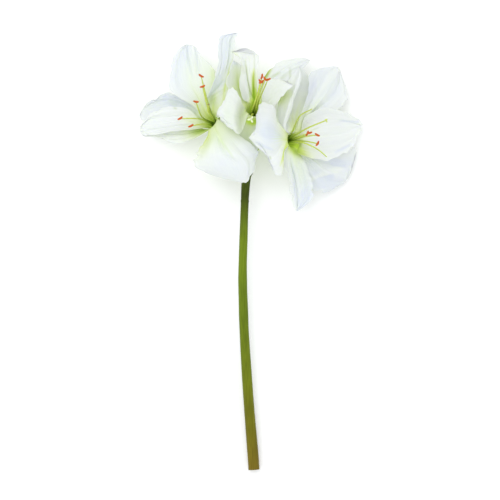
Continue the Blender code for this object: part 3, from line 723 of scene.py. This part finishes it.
petal("middle_petal_1", (8, 24), (-0.6, 0), [
    ((243, 99, 18), (250, 96, 12), (257, 97, 13)),
    ((239.5, 84, 18), (249, 81, 12), (257.5, 80, 12)),
    ((241, 66, 17), (250, 63, 11), (258, 64, 10)),
    ((238.5, 57, 19), (246, 49, 14), (256.5, 54.5, 11)),
], (232, 52, 21), (0.4, 2, 0), green=(0.36, 1),
    folds=[(1.08, -2.35, 0.09, -2, 0.33, 0.7), (0.75, -2.35, 0.25, 1.2, 0.3, 0.7),
        (0.6, 0, 0.08, -1.2, 0.3, 0.8)],
    tint_and_shade_patches=[(GREEN, 0.45, 0.45, 0.1, 0.15, 0.5), (OLIVE_SHADE_CAST, 0.45, 0.42, 0.08, 0.15, 0.6),
        (OLIVE_SHADE_CAST, 0.8, 0.26, 0.5, 0.13, 0.6), (GREEN, -0.9, 0.9, 0.3, 0.1, 0.15)],
    marks=[(OLIVE_SHADE_CAST, (245, 58), (251, 104), 0.8, 0.5), (GREEN, (254, 68), (255.5, 122), 3.5, 0.45),
        (OLIVE_SHADE_CAST, (253.5, 72), (255.5, 122), 3.5, 0.45), (DEEP_SHADE, (255, 88), (255.5, 126), 2.6, 0.65),
        (GREEN, (231, 50), (245, 70), 2.2, 0.12), (OLIVE_SHADE_CAST, (231, 50), (245, 74), 2.2, 0.3)])
petal("middle_petal_2", (58, 21), (0.6, 0.6), [
    ((238, 101, 17), (243, 97, 11), (248, 95, 8)),
    ((226.5, 86, 16), (238, 83, 8), (247, 80, 3)),
    ((229.5, 70, 11), (237, 68, 5), (244, 68, 0)),
], (233.5, 61, 6), (0.5, 2, 0.5), spread=7, green=(0.65, 0.7),
    tint_and_shade_patches=[(OLIVE_SHADE_CAST, 0, 0.5, 1.2, 0.3, 0.35), (COOL_SHADE, 0, 0.95, 1, 0.1, 0.9),
        (GREEN, 0.1, 0.45, 0.25, 0.2, 0.35)],
    marks=[(OLIVE_SHADE_CAST, (234, 64), (241, 98), 4.5, 0.12), (GREEN, (234, 64), (241, 98), 4.5, 0.12),
        (GREEN, (233, 86), (249, 124), 1.7, 0.6), (OLIVE_SHADE_CAST, (233, 86), (249, 124), 1.7, -0.4)])
petal("middle_petal_3", (107, 23), (-0.6, -0.6), [
    ((242.3, 130, 28.3), (240.2, 117, 26.4), (243, 105, 27)),
    ((238, 134, 36), (234, 117, 38), (239, 95, 33)),
    ((231, 129, 38), (227, 115, 39), (231.5, 87.5, 34)),
    ((225, 123, 37), (223, 113, 38), (225.5, 95, 34)),
    ((220.5, 119, 36), (220, 112.5, 37), (221.5, 105, 34)),
], (217, 113.5, 34), (0.7, 3, 2), end=0.1, green=(0.26, 1), nicks=[(1, 0.73, 0.03, 0.25)],
    folds=[(-0.5, 0, 0.12, -1.2, 0.45, 0.9), (0, 0, 0.14, 0.8, 0.5, 0.9)],
    tint_and_shade_patches=[(MINT, 0, 0.55, 0.6, 0.15, 0.5)],
    marks=[(OLIVE_SHADE_CAST, (243.5, 99), (240, 136), 4.5, 0.5)])
petal("middle_petal_4", (170, 32), (0.6, 0.6), [
    ((263, 128, 18), (251, 133, 13), (240.5, 127.5, 18)),
    ((262, 141, 11), (251, 147, 7), (239, 139, 12)),
], (250, 159, 2), (0.4, 2, 0), green=(0.6, 0.7),
    tint_and_shade_patches=[(OLIVE_SHADE_CAST, 0, 0.5, 1.2, 0.5, 0.2), (COOL_SHADE, 0, 0.6, 1.2, 0.4, 0.1),
        (OLIVE_SHADE_CAST, 0, 0.33, 1.2, 0.09, 0.3)],
    marks=[(GREEN, (243, 120), (260, 123), 3, 0.6), (DEEP_SHADE, (247, 122), (260, 121), 2.5, 0.4),
        (OLIVE_SHADE_CAST, (237, 124), (251, 156), 9, 0.15), (GREEN, (242, 122), (252, 146), 7, 0.12)])
petal("middle_petal_5", (248, 29), (-0.6, -0.6), [
    ((262, 100, 21), (266, 104, 19), (271, 109, 24)),
    ((265, 82, 18), (274, 90, 20), (280, 99, 26)),
    ((279, 79, 22), (284, 83, 24), (287, 91, 27)),
], (293, 85, 27), (0.5, 2, 0.8), green=(0.4, 0.9), back=0.45, nicks=[(1, 0.75, 0.03, 0.1)],
    folds=[(0.3, 0, 0.15, 0.8, 0.4, 0.9)],
    tint_and_shade_patches=[(MINT, 0, 0.6, 1, 0.3, 0.2)])
petal("middle_petal_6", (313, 28), (0, 0.6), [
    ((259, 92, 9), (264, 93, 7), (268, 98, 9)),
    ((266, 74, 3), (274, 79, 1), (281, 86, 5)),
    ((279, 62, -2), (287, 68, -3), (293, 77, 0)),
    ((299, 57.5, -5), (302, 62, -6), (304, 68, -5)),
], (310, 60, -9), (0.7, 3, 0.2), green=(0.45, 1),
    nicks=[(-1, 0.6, 0.03, 0.15), (-1, 0.45, 0.03, 0.1)],
    folds=[(-0.2, 0.2, 0.12, -1.3, 0.4, 0.9), (0.2, 0.2, 0.12, 0.9, 0.4, 0.9)],
    tint_and_shade_patches=[(COOL_SHADE, 0.2, 0.7, 0.8, 0.3, 0.3), (OLIVE_SHADE_CAST, -0.9, 0.42, 0.25, 0.12, 0.8),
        (OLIVE_SHADE_CAST, 0.5, 0.55, 0.2, 0.1, 0.3)],
    marks=[(OLIVE_SHADE_CAST, (264, 79), (272, 65), 1.8, 0.5), (GREEN, (264, 79), (272, 65), 1.8, 0.5),
        (OLIVE_SHADE_CAST, (268, 79), (281, 72), 1.8, 0.3), (OLIVE_SHADE_CAST, (290, 67), (290.5, 86), 1.3, 0.35)])
petal("right_petal_1", (92, 32), (0, 0.6), [
    ((284, 152, 23), (281, 139, 24), (278, 121, 22)),
    ((283, 172, 33), (270, 139, 35), (273, 105, 32)),
    ((275, 174, 34), (263, 139, 37), (260, 104, 33)),
    ((268, 157, 35), (258, 138, 37), (257.5, 117, 35)),
    ((258, 147, 35), (253, 138, 36), (256, 128, 35)),
], (249, 138, 34), (1, 3, 0), green=(0.38, 1),
    folds=[(0.28, 0, 0.16, -1.5, 0.25, 0.85), (-0.15, 0, 0.15, 1.2, 0.3, 0.85),
        (-0.5, 0.1, 0.12, -1.6, 0.3, 0.8)],
    tint_and_shade_patches=[(COOL_SHADE, 0.2, 0.42, 0.35, 0.2, 0.9), (COOL_SHADE, -0.2, 0.6, 1, 0.3, 0.25),
        (GREEN, -1, 0.3, 0.12, 0.12, 0.5)],
    marks=[(COOL_SHADE, (255, 142), (273, 150), 1.4, 0.8), (OLIVE_SHADE_CAST, (269.5, 156), (271, 159.5), 1, 0.5),
        (GREEN, (287, 142), (280, 167), 1, 0.5), (COOL_SHADE, (258, 132), (283, 137), 4, 0.5)])
# On this petal the olive mark paints the shadow that the petal above casts on its outer face, and the
# negative green mark lightens that face where it lies in shade, which is painted light
petal("right_petal_2", (22, 25), (-0.8, 0.6), [
    ((292, 126, 16), (278, 121, 7), (304, 114, -1)),
    ((302, 102, 18), (280, 98, 8), (310, 99, -3)),
    ((306, 82, 14), (290, 79, 6), (313, 83, -7)),
], (301, 66, 1), (0.8, 3, 0), green=(0.56, 1), back=0.12, rolls=[(-1, 0.75, -3.3, 0.12, 0.97)],
    folds=[(0.5, 0, 0.14, -1.2, 0.4, 0.9)],
    tint_and_shade_patches=[(COOL_SHADE, 0.3, 0.75, 0.8, 0.3, 0.15)],
    marks=[(OLIVE_SHADE_CAST, (272, 107), (292, 90), 5, 0.15), (GREEN, (272, 107), (292, 90), 5, 0.25),
        (GREEN, (294, 130), (305, 92), 6.5, 0.1), (GREEN, (275, 104), (290, 140), 5, -0.5)])
petal("right_petal_3", (325, 26), (-0.6, 0.6), [
    ((302, 111, 8), (309, 113, 1), (314, 118, -1)),
    ((308, 92, 5), (322, 96, -7), (336, 112, -6)),
    ((311, 73, 1), (331, 80, -17), (347, 100, -15)),
    ((322, 68, -15), (336, 72, -24), (344, 83, -22)),
], (337, 66, -28.8), (1.1, 3, 1), end=0.12, green=(0.45, 0.8),
    nicks=[(1, 0.55, 0.03, 0.1), (-1, 0.8, 0.03, 0.12)],
    folds=[(0, 0.1, 0.14, 1.6, 0.3, 0.9), (0.36, 0.1, 0.12, -1.8, 0.3, 0.9),
        (-0.4, 0.1, 0.14, -1.5, 0.35, 0.9), (0.72, 0, 0.1, 0.9, 0.4, 0.9)],
    tint_and_shade_patches=[(MINT, 0, 0.5, 0.3, 0.3, 0.2), (COOL_SHADE, -0.8, 0.6, 0.4, 0.3, 0.5),
        (COOL_SHADE, 0.4, 0.6, 0.25, 0.2, 0.6), (COOL_SHADE, -0.35, 0.6, 0.15, 0.2, 0.4)],
    marks=[(COOL_SHADE, (303, 116), (340, 74), 2.5, 0.4), (COOL_SHADE, (296, 112), (324, 68), 2.5, 0.35)])
petal("right_petal_4", (271, 25), (-0.6, -0.6), [
    ((305, 117, 7), (309, 135, 1), (298.5, 153.5, 12)),
    ((325, 108, 3), (328, 132, -5), (325, 160, 5)),
    ((345, 112, -6), (347, 130, -13), (346, 153, -3)),
    ((358, 119, -15), (357, 128, -17), (357, 140, -12)),
], (363, 126, -20), (1.2, 3.5, 0.4), end=0.3, green=(0.4, 0.8),
    nicks=[(1, 0.86, 0.03, 0.2), (1, 0.72, 0.03, 0.12), (-1, 0.8, 0.03, 0.12)],
    folds=[(-0.5, 0.1, 0.06, -1.3, 0.6, 0.95), (0.1, 0, 0.07, -1.1, 0.3, 0.7),
        (-0.2, 0, 0.1, 0.7, 0.5, 0.9), (0.5, 0, 0.08, -0.9, 0.4, 0.8)],
    tint_and_shade_patches=[(GREEN, 0.9, 0.3, 0.35, 0.12, 0.4), (OLIVE_SHADE_CAST, 0.9, 0.24, 0.35, 0.08, 0.6)],
    marks=[(COOL_SHADE, (338, 120), (361, 122.5), 1, 1), (OLIVE_SHADE_CAST, (308, 132), (320, 127), 1, 0.25),
        (COOL_SHADE, (334, 153), (352, 144), 1.6, 1), (GREEN, (284, 144), (314, 159), 4.5, 0.2),
        (OLIVE_SHADE_CAST, (284, 144), (310, 160), 3, 0.5), (DEEP_SHADE, (286, 142), (304, 154), 3, 0.15)])
# On this petal the cool casts paint shade in bands, and the negative cool mark paints a lit band between
# them
petal("right_petal_5", (219, 24), (0.6, 0.6), [
    ((316, 151, -1), (311, 158, -3), (303, 160, 1)),
    ((340, 149, -9), (329, 170, -11), (309, 178, -5)),
    ((356, 150, -15), (345, 172, -17), (319, 193.5, -11)),
], (346, 182, -20), (1.1, 3.5, 1.7), end=0.15, green=(0.4, 1),
    nicks=[(1, 0.93, 0.03, 0.08), (1, 0.8, 0.03, 0.08)],
    folds=[(0.45, 0, 0.15, -2, 0.35, 0.95), (0.12, 0, 0.12, 1.4, 0.4, 0.95),
        (-0.3, 0, 0.14, -1.5, 0.4, 0.95), (0.8, 0, 0.12, 0.9, 0.4, 0.95)],
    tint_and_shade_patches=[(COOL_SHADE, 0, 0.7, 1.4, 0.4, 0.3), (COOL_SHADE, 0.65, 0.75, 0.3, 0.3, 1),
        (COOL_SHADE, -0.4, 0.65, 0.2, 0.2, 0.6), (GREEN, 0, 0.2, 1.5, 0.1, 0.5)],
    marks=[(COOL_SHADE, (329, 158), (348, 168), 3.5, 1), (COOL_SHADE, (312, 186), (334, 174), 3, 1),
        (COOL_SHADE, (309, 180), (349, 165), 2.5, -0.8)])
petal("right_petal_6", (162, 29), (-0.6, 0), [
    ((304, 161, 6), (295, 162, 9), (283.5, 158, 12)),
    ((310.5, 178, 4), (300, 180, 4), (289, 180, 8)),
    ((313.5, 197, 1), (303, 197, -1), (290.5, 196, 3)),
], (296.5, 211.5, -3), (1.1, 3, 0.9), end=0.06, green=(0.42, 1),
    nicks=[(1, 0.8, 0.035, 0.2), (-1, 0.72, 0.04, 0.1), (-1, 0.9, 0.04, 0.1)],
    folds=[(0.42, 0, 0.07, -1.9, 0.4, 0.95), (0.72, 0, 0.12, 1.2, 0.4, 0.9),
        (-0.1, 0, 0.12, 0.8, 0.4, 0.95), (-0.5, 0, 0.1, -1, 0.4, 0.9)],
    tint_and_shade_patches=[(MINT, -0.2, 0.45, 0.8, 0.2, 0.6), (COOL_SHADE, -0.5, 0.85, 0.8, 0.35, 1)],
    marks=[(OLIVE_SHADE_CAST, (284, 141), (306, 160), 3.5, 0.6), (GREEN, (286, 146), (306, 159), 4, 0.15),
        (DEEP_SHADE, (282, 138), (302, 156), 3.5, 0.25), (COOL_SHADE, (292, 160), (296.5, 206), 1.4, 0.9),
        (COOL_SHADE, (298, 208), (309, 186), 4, 0.7)])

# The stamens: in each bloom six green threads that grow from a ring deep in the tube, and across the end
# of each a pollen sac, furrowed along and dusted with pollen. Two threads of the right bloom lost theirs.

# Each thread: its turn on the ring in degrees, the places that it passes, its end, and its sac's way
STAMENS = {
    "left": [
        (20, [(208, 103, 20)], (201, 76, 30), (0.85, 0.5, 0.1)),
        (330, [(208, 108, 24)], (202.6, 86.6, 32), (0.93, -0.35, 0.1)),
        (60, [(202, 117, 16)], (196, 101.8, 26), (1, 0.15, 0.1)),
        (100, [(200, 119, 20)], (180.3, 118.4, 30), (0.8, -0.5, 0.2)),
        (160, [(204, 124, 20)], (191, 126, 32), (0.85, -0.45, 0.1)),
        (292, [(222, 115, 15)], (229, 111, 23), (0.5, 0.8, 0.2)),
    ],
    "middle": [
        (0, [(257, 99, 29)], (262, 76.5, 45), (0.25, -0.95, 0.1)),
        (315, [(260, 98, 28)], (268, 79.5, 47), (0.95, -0.2, 0.1)),
        (50, [(256, 100, 31)], (260.5, 81.5, 50), (0.6, 0.6, 0.2)),
        (275, [(257.5, 101, 31)], (265, 79, 53), (0.4, 0.5, 0.3)),
        (235, [(260, 109, 27)], (269, 111, 29), (0.2, 0.9, 0.2)),
        (95, [(254.5, 103, 32)], (261.5, 82, 55), (0.8, -0.5, 0.2)),
    ],
    "right": [
        (320, [(291, 134.8, 9), (293, 130, 15), (300, 116, 20)], (312, 109, 24), None),
        (290, [(297.5, 138, 17)], (307.5, 133.5, 27), (0.45, -0.85, 0.2)),
        (255, [(301, 136, 20)], (309.5, 133, 30), (0.95, -0.2, 0.1)),
        (230, [(303, 137, 22)], (317.2, 135, 34), (0.7, 0.4, 0.3)),
        (200, [(303, 141, 20)], (317.7, 143.6, 33), (0.5, -0.85, 0.2)),
        (165, [(301, 142, 20), (317, 149, 33)], (326.8, 157, 37), None),
    ],
}

# The ring that they grow from and the place where a thread leaves the tube, each a radius and a height;
# radii of ring, thread and sac; how far a sac's spine reaches and bows; sides and rings of each; and the
# relief of threads and sacs
ROOT_PLACE, THREAD_BEND = (1.9, -5.2), (2.5, 3.0)
ROOT_TURNS, ROOT_THICK, ROOT_GRID = np.arange(0, 361, 15.0), 0.7, (12, 49)
THREAD_RADII, THREAD_GRID = (0.9, 0.6), (14, 70)
SAC_RADII, SAC_GRID = [0.3, 0.8, 1.02, 1.1, 1.02, 0.8, 0.3], (28, 60)
SAC_REACHES, SAC_BOW = (-2.95, -2.3, -1.2, 0.0, 1.2, 2.3, 2.95), 0.07
THREAD_SWELL, NECK = 0.05, 0.12
UPPER_FURROW, LOWER_FURROW, FURROW_WIDTH, POLLEN_RISE = 0.2, 0.3, 0.12, 0.05
NEARLY_UP = (0.1, 0.2, 1.0)


def together(tubes):
    """Several tubes as one: their points in a row, with each tube's faces moved on to its own points."""
    points, quads, triangles = zip(*tubes)
    starts = np.cumsum([0] + [len(group) for group in points[:-1]])
    faces = [[face + start for face, start in zip(kind, starts)] for kind in (quads, triangles)]
    return np.concatenate(points), np.concatenate(faces[0]), np.concatenate(faces[1])


def add_pieces(bloom, node, parts):
    """Each part, a name with its tubes and its skin, as a piece that stands for the bloom's node."""
    for name, tubes, skin in parts:
        piece = new_piece(bloom + name, *together(tubes), skin)
        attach(piece, "root")
        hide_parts(bloom + node)


def thread_relief(share, turn):
    """Slow swellings along a thread, flat and narrow just under its sac."""
    return THREAD_SWELL * np.sin(19 * share + turn) * (1 - share) - NECK * step(share, 0.9, 1.0)


def sac_relief(share, turn):
    """One furrow above and one below along the whole sac, and pollen as crossed fine waves."""
    lower = LOWER_FURROW * bell(np.sin(turn), -1, FURROW_WIDTH)
    furrow = lower + UPPER_FURROW * bell(np.sin(turn), 1, FURROW_WIDTH)
    pollen = POLLEN_RISE * np.sin(63 * share + 3 * turn) * np.sin(41 * share - 5 * turn)
    return (pollen - furrow) * np.clip(8 * share, 0, 1) * np.clip(8 * (1 - share), 0, 1)


# Skin of threads and styles: darker green down in the tube, fresh and light above it, faintly mottled
IN_THE_TUBE, ABOVE_IT = (250, 250, 8), (250, 250, 26)
TUBE_GREEN, FRESH_GREEN = (0.26, 0.38, 0.03), (0.56, 0.66, 0.1)
thread_skin, tree, shader = new_material("thread_skin")
raised = along_axis(tree, "Z", IN_THE_TUBE, ABOVE_IT)
mottle = noise(tree, 300, 3)
green = mix(tree, "MIX", raised, TUBE_GREEN, FRESH_GREEN)
green = mix(tree, "MULTIPLY", 1.0, green, ramp(tree, mottle, [(0.3, (0.8, 0.8, 0.7)), (0.7, (1, 1, 1))]))
fill(tree, shader, {
    "Base Color": green,
    "Roughness": 0.45,
    "Subsurface Weight": 0.2,
    "Subsurface Radius": (0.6, 1.0, 0.2),
    "Subsurface Scale": 0.002,
    "Normal": bump(tree, mottle, distance=0.0001, strength=0.4),
})

# Pollen: dry rust-coloured grains
pollen_dust, tree, shader = new_material("pollen_dust")
grains = noise(tree, 1800, 4)
rust = [(0.3, (0.36, 0.06, 0.012)), (0.55, (0.6, 0.13, 0.03)), (0.75, (0.72, 0.22, 0.06))]
fill(tree, shader, {
    "Base Color": ramp(tree, grains, rust),
    "Roughness": 0.85,
    "Specular IOR Level": 0.15,
    "Normal": bump(tree, grains, distance=0.0003, strength=0.9),
})

for bloom, stamens in STAMENS.items():
    root = [ring_point(bloom, turn, *ROOT_PLACE) for turn in ROOT_TURNS]
    threads = [tube(root, [ROOT_THICK], *ROOT_GRID)]
    sacs = []
    for turn, via, end, lie in stamens:
        path = [ring_point(bloom, turn, *ROOT_PLACE), ring_point(bloom, turn, *THREAD_BEND), *via, end]
        radii = np.linspace(*THREAD_RADII, len(path))
        threads.append(tube(path, radii, *THREAD_GRID, relief=thread_relief))
        if lie is not None:
            way = unit(lie)
            bend = unit(np.cross(way, NEARLY_UP))
            spine = [np.array(end) + way * reach + bend * SAC_BOW * reach**2 for reach in SAC_REACHES]
            sacs.append(tube(spine, SAC_RADII, *SAC_GRID, relief=sac_relief))
    parts = [("_threads", threads, thread_skin), ("_pollen_sacs", sacs, pollen_dust)]
    add_pieces(bloom, "_stamens", parts)

# The pistils: in each bloom one green style up from the floor of the tube, with three pale tongues at
# its end that curl back, soft and slightly sticky.
PISTILS = {
    "left": [(213, 118, 16), (208, 111, 26), (208.7, 105, 33)],
    "middle": [(252.3, 114, 24), (251, 119, 38)],
    "right": [(296, 134.5, 14), (310, 127, 29), (325.7, 120.5, 42)],
}

# Heights on the axis where a style starts and leaves the tube; its radii; and for the tongues the way
# and turns that they start from, radii, and spines as (on, out) from its tip; sides and rings of each
STYLE_HEIGHTS, STYLE_RADII, STYLE_GRID = (-5.9, 2.0), (0.95, 0.7), (16, 90)
TONGUE_WAY, TONGUE_TURNS = (0.2, 0.9, 0.3), (0.3, 2.4, 4.5)
TONGUE_RADII, TONGUE_GRID = [0.6, 0.72, 0.7, 0.35], (16, 24)
TONGUE_SPINE = [(-0.8, 0.0), (0.7, 0.8), (1.0, 1.7), (0.6, 2.2)]


def stigma_material(name, shade, light):
    """Moist plant tissue, its colour between shade and light by a fine noise."""
    material, tree, shader = new_material(name)
    soft = noise(tree, 900, 3)
    fill(tree, shader, {
        "Base Color": ramp(tree, soft, [(0.3, shade), (0.7, light)]),
        "Roughness": 0.35,
        "Subsurface Weight": 0.3,
        "Subsurface Radius": (0.8, 1.0, 0.4),
        "Subsurface Scale": 0.002,
        "Normal": bump(tree, soft, distance=0.0002, strength=0.6),
    })
    return material


# How far each stigma has opened, how plump it is, and its skin: the left one is closed and brownish
STIGMAS = {
    "left": (0.55, 0.8, stigma_material("young_stigma", (0.22, 0.2, 0.05), (0.34, 0.3, 0.09))),
    "middle": (1.6, 1.45, stigma_material("open_stigma", (0.66, 0.74, 0.42), (0.84, 0.88, 0.66))),
    "right": (1.0, 1.0, stigma_material("ripe_stigma", (0.5, 0.62, 0.12), (0.72, 0.78, 0.28))),
}

for bloom, upper in PISTILS.items():
    path = [ring_point(bloom, 0, 0, height) for height in STYLE_HEIGHTS] + upper
    style = tube(path, np.linspace(*STYLE_RADII, len(path)), *STYLE_GRID, relief=thread_relief)
    opened, plump, stigma_skin = STIGMAS[bloom]
    tip = np.array(path[-1], float)
    on = unit(tip - np.array(path[-2], float))
    flat = unit(np.cross(on, TONGUE_WAY))
    third = np.cross(on, flat)
    tongues = []
    for turn in TONGUE_TURNS:
        out = np.cos(turn) * flat + np.sin(turn) * third
        spine = [tip + opened * (on * rise + out * reach) for rise, reach in TONGUE_SPINE]
        tongues.append(tube(spine, [plump * radius for radius in TONGUE_RADII], *TONGUE_GRID))
    parts = [("_style", [style], thread_skin), ("_stigma", tongues, stigma_skin)]
    add_pieces(bloom, "_pistil", parts)

# The stage: a plain pale floor, a wide soft light above and to the upper left, an even sky, and a
# camera that looks straight down on the stem, as it lies.
FLOOR_REACH = 3.0
corners = [(FLOOR_REACH * x, FLOOR_REACH * y, 0) for x, y in ((-1, -1), (1, -1), (1, 1), (-1, 1))]
floor_mesh = bpy.data.meshes.new("floor")
floor_mesh.from_pydata(corners, [], [(0, 1, 2, 3)])
floor_paint, tree, shader = new_material("floor_paint")
fill(tree, shader, {
    "Base Color": (0.93, 0.93, 0.93),
    "Roughness": 0.9,
    "Specular IOR Level": 0.1,
    "Emission Color": (1, 1, 1),
    "Emission Strength": 0.12,
})
floor_mesh.materials.append(floor_paint)
add_object("floor", floor_mesh)

sky = bpy.data.worlds.new("sky")
sky.use_nodes = True
background = sky.node_tree.nodes["Background"]
background.inputs["Color"].default_value = (0.96, 0.98, 1.0, 1)
background.inputs["Strength"].default_value = 1.0
scene.world = sky

HEAD_MIDDLE = np.array([0.0, 0.15, 0.0])
key = bpy.data.lights.new("key", "AREA")
key.shape = "DISK"
key.size = 1.6
key.energy = 12
key.color = (1.0, 0.99, 0.97)
key_light = add_object("key", key)
key_light.location = (-0.45, 0.6, 2.0)
aim = HEAD_MIDDLE - np.array(key_light.location)
tilt = np.arctan2(np.hypot(aim[0], aim[1]), -aim[2])
heading = np.arctan2(aim[1], aim[0]) - np.pi / 2
key_light.rotation_euler = (tilt, 0, heading)

EYE_HEIGHT = 2.4
PICTURE_SIDE = 500 * UNIT
PICTURE_MIDDLE = metres((250, 250, 0)) + to_frame
SENSOR = 36
lens = bpy.data.cameras.new("camera")
lens.sensor_width = SENSOR
lens.lens = SENSOR * EYE_HEIGHT / PICTURE_SIDE
lens.clip_end = 20
camera = add_object("camera", lens)
camera.location = tuple(PICTURE_MIDDLE + [0, 0, EYE_HEIGHT])
scene.camera = camera
scene.view_settings.view_transform = "Standard"
